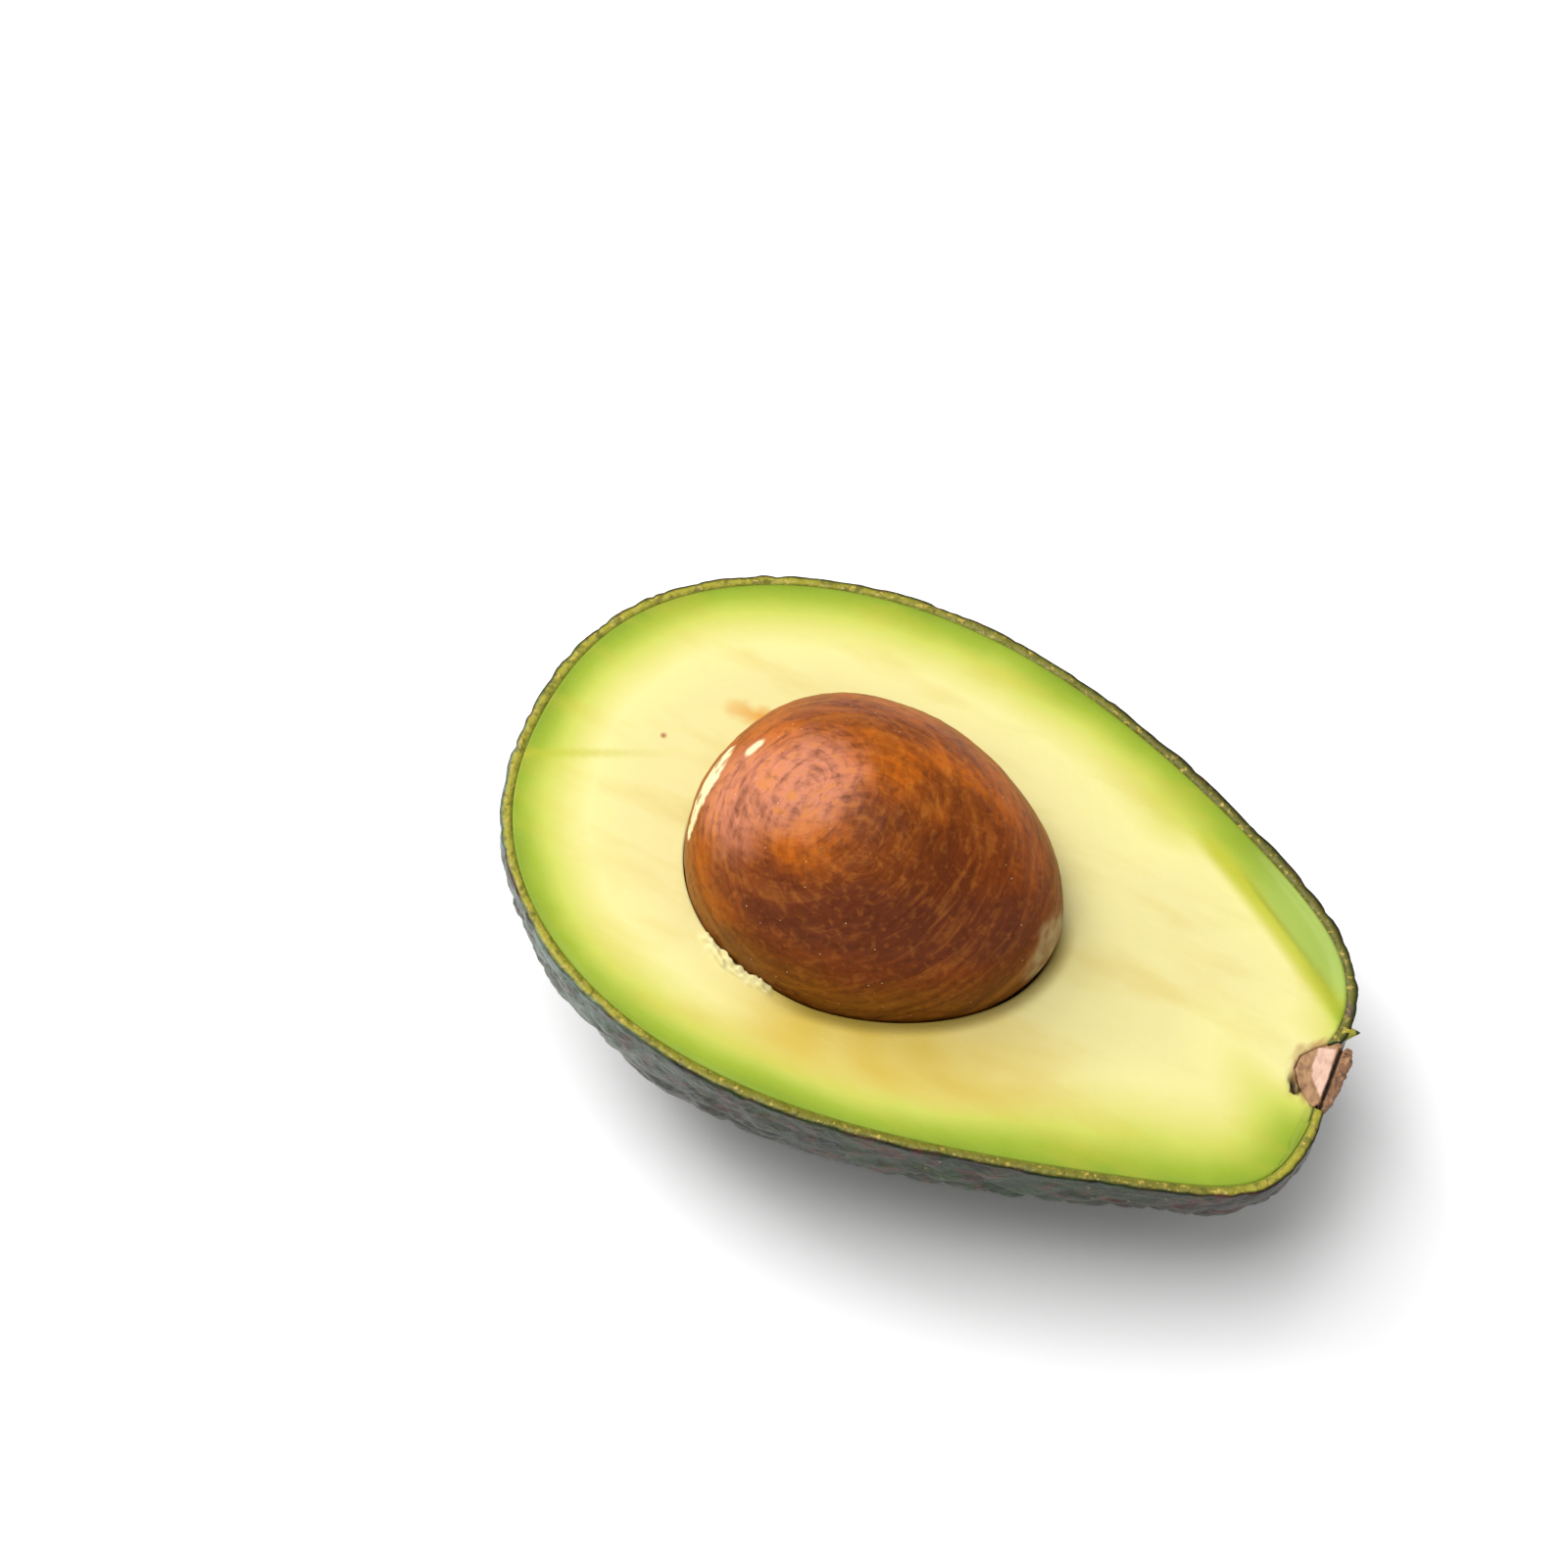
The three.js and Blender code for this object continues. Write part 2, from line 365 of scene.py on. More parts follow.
def add_node(tree, kind, sockets=None, **options):
    """Adds a shader node of that kind, sets its options, and sets or links its sockets.

    A socket that is given a name reads the numbers that the mesh keeps under it.
    """
    node = tree.nodes.new("ShaderNode" + kind)
    for name, value in options.items():
        setattr(node, name, value)
    for name, value in (sockets or {}).items():
        if isinstance(value, str):
            value = add_node(tree, "Attribute", attribute_name=value).outputs["Fac"]
        if isinstance(value, bpy.types.NodeSocket):
            tree.links.new(value, node.inputs[name])
        else:
            node.inputs[name].default_value = value
    return node


def fill_ramp(node, stops):
    """Gives a colour ramp its stops, each a place from 0 to 1 and a colour."""
    ramp = node.color_ramp
    while len(ramp.elements) < len(stops):
        ramp.elements.new(0.5)
    for element, (where, color) in zip(ramp.elements, stops):
        element.position = where
        element.color = opaque(color)


def new_material(name):
    """An empty material, its node tree, and the piece's coordinates in millimetres."""
    material = bpy.data.materials.new(name)
    material.use_nodes = True
    tree = material.node_tree
    tree.nodes.clear()
    coordinates = add_node(tree, "TexCoord")
    millimetres = add_node(
        tree,
        "Mapping",
        {"Vector": coordinates.outputs["Object"], "Scale": (1 / MM, 1 / MM, 1 / MM)},
    )
    return material, tree, millimetres.outputs["Vector"]


def layered(tree, base, layers):
    """Lays colours over a base colour, each as thick as its share."""
    for share, color in layers:
        sockets = {FACTOR: share, FIRST: base, SECOND: opaque(color)}
        base = add_node(tree, "Mix", sockets, data_type="RGBA").outputs[MIXED]
    return base


def patches(tree, place_mm, size, low, high, strength=1.0, seed=0.0, distortion=0.0):
    """Soft patches of about that many millimetres, where noise lies between two levels."""
    sockets = {"W": seed, "Scale": 1 / size, "Detail": 4.0, "Distortion": distortion}
    clouds = add_node(tree, "TexNoise", {"Vector": place_mm, **sockets}, noise_dimensions="4D")
    levels = {"From Min": low, "From Max": high, "To Max": strength}
    share = add_node(tree, "MapRange", {"Value": clouds.outputs["Fac"], **levels})
    return share.outputs["Result"]


def specks(tree, place_mm, pitch, radius):
    """Small round specks, at most one in each cube of that pitch."""
    cells = add_node(tree, "TexVoronoi", {"Vector": place_mm, "Scale": 1 / pitch})
    edges = {"From Min": 1.4 * radius / pitch, "From Max": 0.6 * radius / pitch}
    share = add_node(tree, "MapRange", {"Value": cells.outputs["Distance"], **edges})
    return share.outputs["Result"]


def rings_about(tree, place_mm, middle, spacing):
    """Fine wavering lines that run in rings about a point, as noise from 0 to 1."""
    off = add_node(
        tree, "VectorMath", {0: place_mm, 1: middle}, operation="SUBTRACT"
    ).outputs["Vector"]
    far = add_node(tree, "VectorMath", {0: off}, operation="LENGTH").outputs["Value"]
    heading = add_node(tree, "VectorMath", {0: off}, operation="NORMALIZE")
    # The noise changes slowly on the way round and fast on the way out.
    slow = add_node(
        tree, "VectorMath", {0: heading.outputs["Vector"], "Scale": 2.5}, operation="SCALE"
    )
    steps = add_node(tree, "Math", {0: far, 1: spacing}, operation="DIVIDE")
    outward = add_node(tree, "CombineXYZ", {"X": steps.outputs["Value"]})
    where = add_node(
        tree,
        "VectorMath",
        {0: slow.outputs["Vector"], 1: outward.outputs["Vector"]},
        operation="ADD",
    )
    lines = add_node(
        tree,
        "TexNoise",
        {"Vector": where.outputs["Vector"], "Scale": 1.0, "Detail": 5.0, "Distortion": 0.6},
    )
    return lines.outputs["Fac"]


def finish_material(tree, color, looks, relief=None, strength=0.0, depth_mm=0.0):
    """Ends a material: its colour, its other looks, and fine relief of that depth if any."""
    sockets = {"Base Color": color, **looks}
    if relief is not None:
        bump = add_node(
            tree, "Bump", {"Height": relief, "Strength": strength, "Distance": depth_mm * MM}
        )
        sockets["Normal"] = bump.outputs["Normal"]
    shader = add_node(tree, "BsdfPrincipled", sockets)
    add_node(tree, "OutputMaterial", {"Surface": shader.outputs["BSDF"]})


def waxy_peel(settings):
    """Waxy, pebbled avocado skin.

    To the eye it is near black green with red-brown patches and small pale breathing spots.
    On the front of the blunt end, near the cut, it is a pale grey-green: mostly a painted
    reflection of the pale surround, partly a waxy bloom. Its wax gives it broken highlights.
    Its cut edge is olive with golden flecks, darkened by painted shade from the middle towards
    the stem end and on the far side.
    """
    material, tree, place_mm = new_material("waxy avocado skin")
    layers = [
        (patches(tree, place_mm, 17, 0.4, 0.66, 0.85), settings.skin_brown),
        (patches(tree, place_mm, 2.6, 0.42, 0.68, seed=3), settings.skin_dark),
        # Painted reflection: a pale grey-green on the front of the blunt end, partly waxy bloom
        (patches(tree, place_mm, 2, 0.35, 0.6, "bloom_and_reflection", 11), settings.skin_bloom_and_reflection),
        (patches(tree, place_mm, 3.2, 0.5, 0.7, 0.75, 7, 1), settings.skin_red),
        (patches(tree, place_mm, 0.8, 0.56, 0.68, 0.8, 13), settings.skin_dark),
        (specks(tree, place_mm, 2.3, 0.2), settings.skin_spots),
    ]
    skin_color = layered(tree, opaque(settings.skin_green), layers)
    # The cut edge, from the skin's dark line to where it meets the flesh
    edge_start = add_node(
        tree, "MapRange", {"Value": "depth_mm", "From Min": 0.08, "From Max": 0.4}
    )
    edge_end = add_node(
        tree, "MapRange", {"Value": "depth_mm", "From Min": 0.95, "From Max": 1.25, "To Max": 0.75}
    )
    layers = [
        # Painted shade over the cut edge, from the middle towards the stem end and on the far side
        ("edge_shade", settings.edge_dark_and_shade),
        (patches(tree, place_mm, 0.9, 0.5, 0.62, 0.75, seed=5), settings.edge_dark_and_shade),
        (patches(tree, place_mm, 0.6, 0.56, 0.66, 0.9, seed=9), settings.edge_gold),
        (edge_end.outputs["Result"], settings.edge_green),
        ("bruise", settings.edge_bruise),
    ]
    edge_color = layered(tree, opaque(settings.edge_olive), layers)
    color = add_node(
        tree,
        "Mix",
        {FACTOR: edge_start.outputs["Result"], FIRST: skin_color, SECOND: edge_color},
        data_type="RGBA",
    )
    grain = patches(tree, place_mm, 1.3, 0.2, 0.8)
    looks = {"Roughness": 0.34, "IOR": 1.45, "Specular IOR Level": 0.28}
    finish_material(tree, color.outputs[MIXED], looks, grain, strength=0.7, depth_mm=0.4)
    return material


def cut_flesh(settings):
    """Ripe avocado flesh, cut with a knife.

    To the eye it is creamy yellow in the middle and turns through yellow-green to a fresh
    green next to the peel. It is moist and a little translucent, with a satin gloss. In front
    of the seed it is a deeper yellow, partly its own colour and partly a painted shadow of the
    seed, and painted shade darkens the lip that rolls down to the seed and the small hole by
    the stalk.
    """
    material, tree, place_mm = new_material("moist avocado flesh")
    # The bands of colour waver by up to 1.3 mm and end 13 mm in from the peel.
    waver = add_node(tree, "TexNoise", {"Vector": place_mm, "Scale": 1 / 11, "Detail": 3.0})
    wavered = add_node(
        tree, "Math", {0: waver.outputs["Fac"], 1: 2.6, 2: -1.3}, operation="MULTIPLY_ADD"
    )
    depth = add_node(tree, "Math", {0: "rim_mm", 1: wavered.outputs["Value"]}, operation="ADD")
    share = add_node(
        tree, "MapRange", {"Value": depth.outputs["Value"], "From Min": 0.0, "From Max": 13.0}
    )
    bands = add_node(tree, "ValToRGB", {"Fac": share.outputs["Result"]})
    stops = [
        (0.0, settings.rim_green),
        (0.12, settings.bright_green),
        (0.28, settings.yellow_green),
        (0.45, settings.lime_yellow),
        (0.64, settings.pale_yellow),
        (1.0, settings.heart_yellow),
    ]
    fill_ramp(bands, stops)
    # Patterns read at these places are four times as long as they are wide.
    fibres = add_node(
        tree, "VectorMath", {0: place_mm, 1: (0.25, 1.0, 1.0)}, operation="MULTIPLY"
    ).outputs["Vector"]
    from_dot = add_node(
        tree, "VectorMath", {0: place_mm, 1: tuple(place(DOT) / MM)}, operation="DISTANCE"
    )
    dot = add_node(
        tree, "MapRange", {"Value": from_dot.outputs["Value"], "From Min": 0.5, "From Max": 0.15}
    )
    layers = [
        (patches(tree, fibres, 4, 0.5, 0.72, 0.3, seed=2), settings.deep_yellow_and_shadow),
        # Partly deeper yellow flesh, partly a painted shadow of the seed, in front of the seed
        ("deep", settings.deep_yellow_and_shadow),
        # Painted shade where the flesh rolls down to the seed in front of it
        ("lip", settings.lip_shade),
        ("facet", settings.facet_green),
        ("streak", settings.streak_green),
        ("browning", settings.browned),
        ("torn", settings.torn_brown),
        ("crumbs", settings.crumb_cream),
        # Painted shade in the small hole beside the stalk
        ("pit", settings.pit_shade),
        (dot.outputs["Result"], settings.torn_brown),
    ]
    color = layered(tree, bands.outputs["Color"], layers)
    looks = {
        "Roughness": 0.45,
        "IOR": 1.4,
        "Specular IOR Level": 0.25,
        "Subsurface Weight": 0.2,
        "Subsurface Radius": (1.0, 0.8, 0.3),
        "Subsurface Scale": 2 * MM,
    }
    grain = patches(tree, fibres, 0.7, 0.2, 0.8)
    finish_material(tree, color, looks, grain, strength=0.2, depth_mm=0.2)
    return material


def seed_coat(settings):
    """The thin, papery coat of the seed.

    To the eye it is warm brown with orange and red-brown clouds and fine lines that swirl
    about two points, with a soft sheen. Painted light and shade lie over this: lighter orange
    on the far side and the blunt end, which face the key light, a pink painted sheen where the
    lines swirl, a painted darker middle, and a redder shade towards the narrow end and the
    front.
    """
    material, tree, place_mm = new_material("avocado seed coat")
    first = rings_about(tree, place_mm, tuple(place(SWIRL_MIDDLE) / MM), 1.1)
    second = rings_about(tree, place_mm, tuple(place(SECOND_SWIRL_MIDDLE) / MM), 0.9)
    both = add_node(tree, "Math", {0: first, 1: second}, operation="ADD")
    lines = both.outputs["Value"]
    dark_lines = add_node(
        tree, "MapRange", {"Value": lines, "From Min": 1.0, "From Max": 1.3, "To Max": 0.55}
    )
    light_lines = add_node(
        tree, "MapRange", {"Value": lines, "From Min": 0.97, "From Max": 0.78, "To Max": "strands"}
    )
    layers = [
        (patches(tree, place_mm, 9, 0.45, 0.62, 0.9, distortion=0.6), settings.coat_orange_and_light),
        (patches(tree, place_mm, 7, 0.5, 0.66, 0.7, 4, distortion=0.5), settings.coat_red_and_shade),
        # Redder towards the narrow end and front: partly the coat's own tone, partly painted shade
        ("shade", settings.coat_red_and_shade),
        # Lighter orange on the far side and the blunt end: partly the coat's own colour, partly
        # painted light
        ("orange_and_light", settings.coat_orange_and_light),
        # Painted shade over the middle of the seed's top, towards the front
        ("middle_shade", settings.coat_dark_and_shade),
        ("plum", settings.coat_plum),
        ("foot", settings.coat_gold),
        # Dull pink where the lines swirl, lightened as a painted sheen where the key light
        # reflects
        ("cap", settings.coat_pink_and_sheen),
        (dark_lines.outputs["Result"], settings.coat_dark_and_shade),
        (light_lines.outputs["Result"], settings.coat_light),
        (patches(tree, place_mm, 1.2, 0.5, 0.72, 0.5, 6, 0.5), settings.coat_dark_and_shade),
        (patches(tree, place_mm, 0.9, 0.52, 0.75, 0.25, 9, 0.4), settings.coat_light),
        (specks(tree, place_mm, 1.6, 0.075), settings.coat_specks),
        ("tip", settings.coat_grey),
        ("scraped", settings.under_coat),
    ]
    color = layered(tree, opaque(settings.coat_brown), layers)
    grain = patches(tree, place_mm, 0.5, 0.2, 0.8, seed=8)
    height = add_node(tree, "Math", {0: grain, 1: 0.35, 2: lines}, operation="MULTIPLY_ADD")
    looks = {"Roughness": 0.42, "IOR": 1.45, "Specular IOR Level": 0.1}
    finish_material(tree, color, looks, height.outputs["Value"], strength=0.35, depth_mm=0.3)
    return material


def stalk_wood(settings):
    """The cut stalk: pinkish cream pith, torn tan tissue beside it, and brown bark."""
    material, tree, place_mm = new_material("cut avocado stalk")
    layers = [
        (patches(tree, place_mm, 0.8, 0.5, 0.62), settings.bark_dark),
        (patches(tree, place_mm, 0.7, 0.52, 0.66, seed=4), settings.bark_light),
        ("torn", settings.torn_tan),
        ("pith", settings.pith_pink),
        ("crack", settings.crack_dark),
    ]
    color = layered(tree, opaque(settings.bark_brown), layers)
    grain = patches(tree, place_mm, 0.6, 0.2, 0.8)
    finish_material(tree, color, {"Roughness": 0.65}, grain, strength=0.6, depth_mm=0.3)
    return material


def matt_floor(settings):
    """Seamless white studio paper: matt and even."""
    material, tree, _ = new_material("white studio paper")
    finish_material(tree, opaque(settings.floor_color), {"Roughness": 0.9, "IOR": 1.3})
    return material


# Settings that a user would change


def number_setting(description, default, **kind):
    return bpy.props.FloatProperty(description=description, default=default, **kind)


def color_setting(description, code):
    return bpy.props.FloatVectorProperty(
        description=description, subtype="COLOR", size=3, min=0, max=1, default=linear(code)
    )


class AvocadoPeelSettings(bpy.types.PropertyGroup):
    pebble_width: number_setting("Width of one pebble of the skin", 4.6 * MM, unit="LENGTH")
    pebble_height: number_setting("Height over the valleys", 0.95 * MM, unit="LENGTH")
    skin_green: color_setting("Main colour of the skin", "#273b14")
    skin_brown: color_setting("Brown clouds of the skin", "#2c1e18")
    skin_dark: color_setting("Near black blotches of the skin", "#10160e")
    skin_red: color_setting("Red-brown patches of the skin", "#5a2620")
    # Also serves as the painted reflection on the front of the blunt end
    skin_bloom_and_reflection: color_setting("Pale waxy bloom of the blunt end", "#74877a")
    skin_spots: color_setting("Pale breathing spots", "#6c7448")
    # Also serves as the painted shade on the cut edge
    edge_dark_and_shade: color_setting("Dark patches of the peel's cut edge", "#5c5a1e")
    edge_olive: color_setting("Main colour of the peel's cut edge", "#99942f")
    edge_gold: color_setting("Golden flecks of the peel's cut edge", "#bca24a")
    edge_green: color_setting("Where the cut edge meets the flesh", "#77802c")
    edge_bruise: color_setting("Purple-grey bruise by the stalk", "#5c4448")


class AvocadoFleshSettings(bpy.types.PropertyGroup):
    rim_green: color_setting("Flesh right under the peel", "#7f9626")
    bright_green: color_setting("Flesh in the green band", "#96a930")
    yellow_green: color_setting("Flesh where the green fades", "#bdc355")
    lime_yellow: color_setting("Flesh past the green band", "#d1cc76")
    pale_yellow: color_setting("Most of the cut face", "#dcd590")
    heart_yellow: color_setting("Flesh next to the seed", "#d8ce8f")
    # Also serves as the painted shadow of the seed in front of it
    deep_yellow_and_shadow: color_setting("Fibres along the fruit", "#c4a83e")
    # Painted shade, not the flesh's own colour
    lip_shade: color_setting("Where the flesh rolls down to the seed", "#8a7420")
    facet_green: color_setting("Facet beside the stalk", "#9bb052")
    streak_green: color_setting("Yellow streak along the facet", "#b2b02c")
    browned: color_setting("Stain beside the seed", "#cf8a1e")
    torn_brown: color_setting("Torn flesh round the stalk", "#a5764a")
    crumb_cream: color_setting("Torn crumbs beside the seed", "#dcd29a")
    # Painted shade in the small hole, not the flesh's own colour
    pit_shade: color_setting("Small dark hole beside the stalk", "#2b2412")


class AvocadoSeedSettings(bpy.types.PropertyGroup):
    coat_brown: color_setting("Main colour of the seed coat", "#82400f")
    # Also serves as the painted light on the seed's sides that face the key light
    coat_orange_and_light: color_setting("Orange clouds of the seed coat", "#b25a0e")
    # Also serves as the painted shade towards the seed's narrow end and front
    coat_red_and_shade: color_setting("Red-brown clouds of the seed coat", "#70300f")
    coat_plum: color_setting("Dull purple-brown band of the seed coat", "#5c2c1c")
    coat_gold: color_setting("Seed coat near the flesh", "#865618")
    # Also serves as the painted sheen where the lines swirl
    coat_pink_and_sheen: color_setting("Dull pink where the lines swirl", "#cc8264")
    # Also serves as the painted shade in the middle of the seed
    coat_dark_and_shade: color_setting("Dark lines of the seed coat", "#4c200a")
    coat_light: color_setting("Light lines of the seed coat", "#c47a2e")
    coat_specks: color_setting("Tiny pale specks", "#d8b088")
    coat_grey: color_setting("Worn grey-beige tip", "#b39a72")
    under_coat: color_setting("Cream where the coat is scraped off", "#ece0b0")


class AvocadoStalkSettings(bpy.types.PropertyGroup):
    pith_pink: color_setting("Pinkish cream of the cut pith", "#e0b8a2")
    torn_tan: color_setting("Torn tissue beside the pith", "#a88058")
    bark_dark: color_setting("Dark flecks of the bark", "#4a2c1c")
    bark_brown: color_setting("Main colour of the bark", "#7d5636")
    bark_light: color_setting("Light flecks of the bark", "#a87c56")
    crack_dark: color_setting("Shadowed crack between pith and bark", "#1c0e0a")


class AvocadoStageSettings(bpy.types.PropertyGroup):
    floor_color: color_setting("Colour of the floor", "#f7f7f7")
    key_power: number_setting("Light at the back left", 6.0, unit="POWER")
    overhead_power: number_setting("Soft light over the fruit", 11.0, unit="POWER")
    sky_strength: number_setting("Strength of the even light all around", 0.45)
    azimuth: number_setting("Camera's turn", math.radians(22.66), subtype="ANGLE")
    elevation: number_setting("Camera's rise", math.radians(58.37), subtype="ANGLE")
    distance: number_setting("Camera to the cut face", 625 * MM, unit="LENGTH")


# Makers, one for each piece


class AVOCADO_OT_peel(bpy.types.Operator):
    """Make the thick, pebbled peel"""

    bl_idname = "avocado.peel"
    bl_label = "Peel"

    SEGMENTS = 320
    RINGS = 240

    # Small pebbles stand on the large ones. Their width and height are shares of those.
    SMALL_WIDTH = 0.45
    SMALL_HEIGHT = 0.3
    VALLEY_SHARPNESS = 3.2
    # Pebbles are longer along the fruit, where places are drawn together by this share.
    LENGTHENED = 0.72
    # How high the pebbled skin is on average, as a share of a pebble's height
    MEAN_RISE = 0.75
    # Near the cut the pebbles are this share of their height, and all of it this deep under it.
    HEIGHT_AT_CUT = 0.42
    CALMER_WITHIN = 7

    # A bruise, and a pointed flap of peel from its foot to its tip, beside the stalk
    BRUISE = (47.9, 7.6, 0)
    SPUR_FOOT = np.array([46.5, 3.9, -1.25])
    SPUR_TIP = np.array([49.6, 5.6, -0.15])
    SPUR_BEND = np.array([0.0, 0.25, 0.15])
    SPUR_ACROSS = np.array([-0.54, 0.84, 0.0])
    SPUR_WIDTH = 1.7

    def execute(self, context):
        settings = context.scene.avocado_peel
        piece = sphere("peel_shell", self.SEGMENTS, self.RINGS, along_x=True)
        cut_away_above(piece, fill=False)
        unit = corners_of(piece)
        angle = np.arccos(np.clip(-unit[:, 0], -1, 1))
        turn = np.arctan2(np.abs(unit[:, 2]), unit[:, 1])
        on_cut = np.abs(unit[:, 2]) < 1e-4
        base = skin(angle, turn)
        normal = skin_normal(angle, turn)
        normal[on_cut, 2] = 0
        normal /= np.linalg.norm(normal, axis=1, keepdims=True)

        outer = base + normal * self.relief(base, settings)[:, None]
        inner = base - normal * PEEL_THICKNESS
        outer[on_cut, 2] = 0
        inner[on_cut, 2] = 0
        set_corners(piece, outer)
        apply_modifier(piece, "SOLIDIFY", thickness=PEEL_THICKNESS, offset=-1)
        set_corners(piece, np.concatenate([outer, inner]))
        cut_socket(piece)
        points = corners_of(piece)
        self.store_marks(piece, points)
        placed = place(points)
        placed[:, 2] = np.maximum(placed[:, 2], 0)
        set_corners(piece, placed)
        spur = self.spur()
        only(piece)
        spur.select_set(True)
        bpy.ops.object.join()
        finish_piece(piece, "peel", [waxy_peel(settings)])
        return {"FINISHED"}

    def pebble(self, at, width):
        """From 0 in the valley between two pebbles to nearly 1 on top of them."""
        near, second = noise.voronoi(at / width)[0][:2]
        return 1 - math.exp(-self.VALLEY_SHARPNESS * (second - near))

    def relief(self, points, settings):
        """How far the pebbled skin stands off the smooth one, in millimetres."""
        width = settings.pebble_width / MM
        height = settings.pebble_height / MM
        shifts = (0, 31, 67)
        rises = []
        for p in points:
            at = Vector(p)
            # Warped places, by up to 2.4 mm, make the pebbles differ in shape.
            warp = 2.4 * Vector([noise.noise(at / 6 + Vector((shift, 0, 0))) for shift in shifts])
            warped = Vector((at.x * self.LENGTHENED, at.y, at.z)) + warp
            rise = self.pebble(warped, width) - self.MEAN_RISE
            rise += self.SMALL_HEIGHT * self.pebble(warped, self.SMALL_WIDTH * width)
            patch = 0.8 + 0.5 * noise.noise(at / 11)
            lump = 0.3 * noise.noise(at / 9 + Vector((4, 4, 4)))
            rises.append(height * patch * rise + lump)
        # The spot that the fruit lies on is flat.
        pressed = smoothstep(0.15, 2.2, place(points)[:, 2] / MM)
        deep = smoothstep(0, self.CALMER_WITHIN, -points[:, 2])
        calmer = self.HEIGHT_AT_CUT + (1 - self.HEIGHT_AT_CUT) * deep
        return np.array(rises) * pressed * calmer

    def store_marks(self, piece, points):
        """What the skin and the cut edge show. The depth is above 0 only on the cut edge."""
        x, y, z = points.T
        inner_edge = from_outline(points, cut_outline(PEEL_THICKNESS, 4000)) < 0.05
        depth = PEEL_THICKNESS * (inner_edge & (np.abs(z) < 1e-3))
        # The dark line is wider on the far side towards the stem end.
        far_side = smoothstep(-5, 15, x) * (y > 0)
        store(piece, "depth_mm", depth * (1 - 0.35 * far_side))
        # Painted shade: the cut edge darkens from the middle towards the stem end, and on the far
        # side.
        edge_shade = smoothstep(-35, 0, x) * smoothstep(48, 40, x)
        store(piece, "edge_shade", np.maximum(0.7 * edge_shade, 0.9 * far_side))
        # Painted reflection on the front of the blunt end near the cut, partly waxy bloom
        bloom_and_reflection = smoothstep(-8, -34, x) * smoothstep(8, -6, y) * smoothstep(-18, -8, z)
        store(piece, "bloom_and_reflection", 0.7 * bloom_and_reflection)
        store(piece, "bruise", 0.8 * smoothstep(1.5, 0.5, from_spot(points, self.BRUISE)))

    def spur(self):
        """A pointed flap of peel that stands off beside the stalk."""
        piece = sphere("spur", 24, 24, along_x=True)
        unit = corners_of(piece)
        share = (unit[:, 0] + 1) / 2
        bend = self.SPUR_BEND * np.sin(share * math.pi)[:, None]
        spine = self.SPUR_FOOT + share[:, None] * (self.SPUR_TIP - self.SPUR_FOOT) + bend
        narrowing = np.sqrt(np.minimum(1, 6 * share)) * (1 - share) ** 0.9
        width = self.SPUR_WIDTH * narrowing + 0.04
        radius = np.linalg.norm(unit[:, 1:], axis=1) + 1e-9
        points = spine + (width * unit[:, 1] / radius)[:, None] * self.SPUR_ACROSS
        points[:, 2] += 0.6 * width * unit[:, 2] / radius
        store(piece, "depth_mm", np.where(share < 0.85, 0.6, 0))
        # The spur's edge gets a little painted shade.
        for name, value in (("edge_shade", 0.2), ("bloom_and_reflection", 0.0), ("bruise", 0.0)):
            store(piece, name, np.full(len(points), value))
        set_corners(piece, place(points))
        return piece


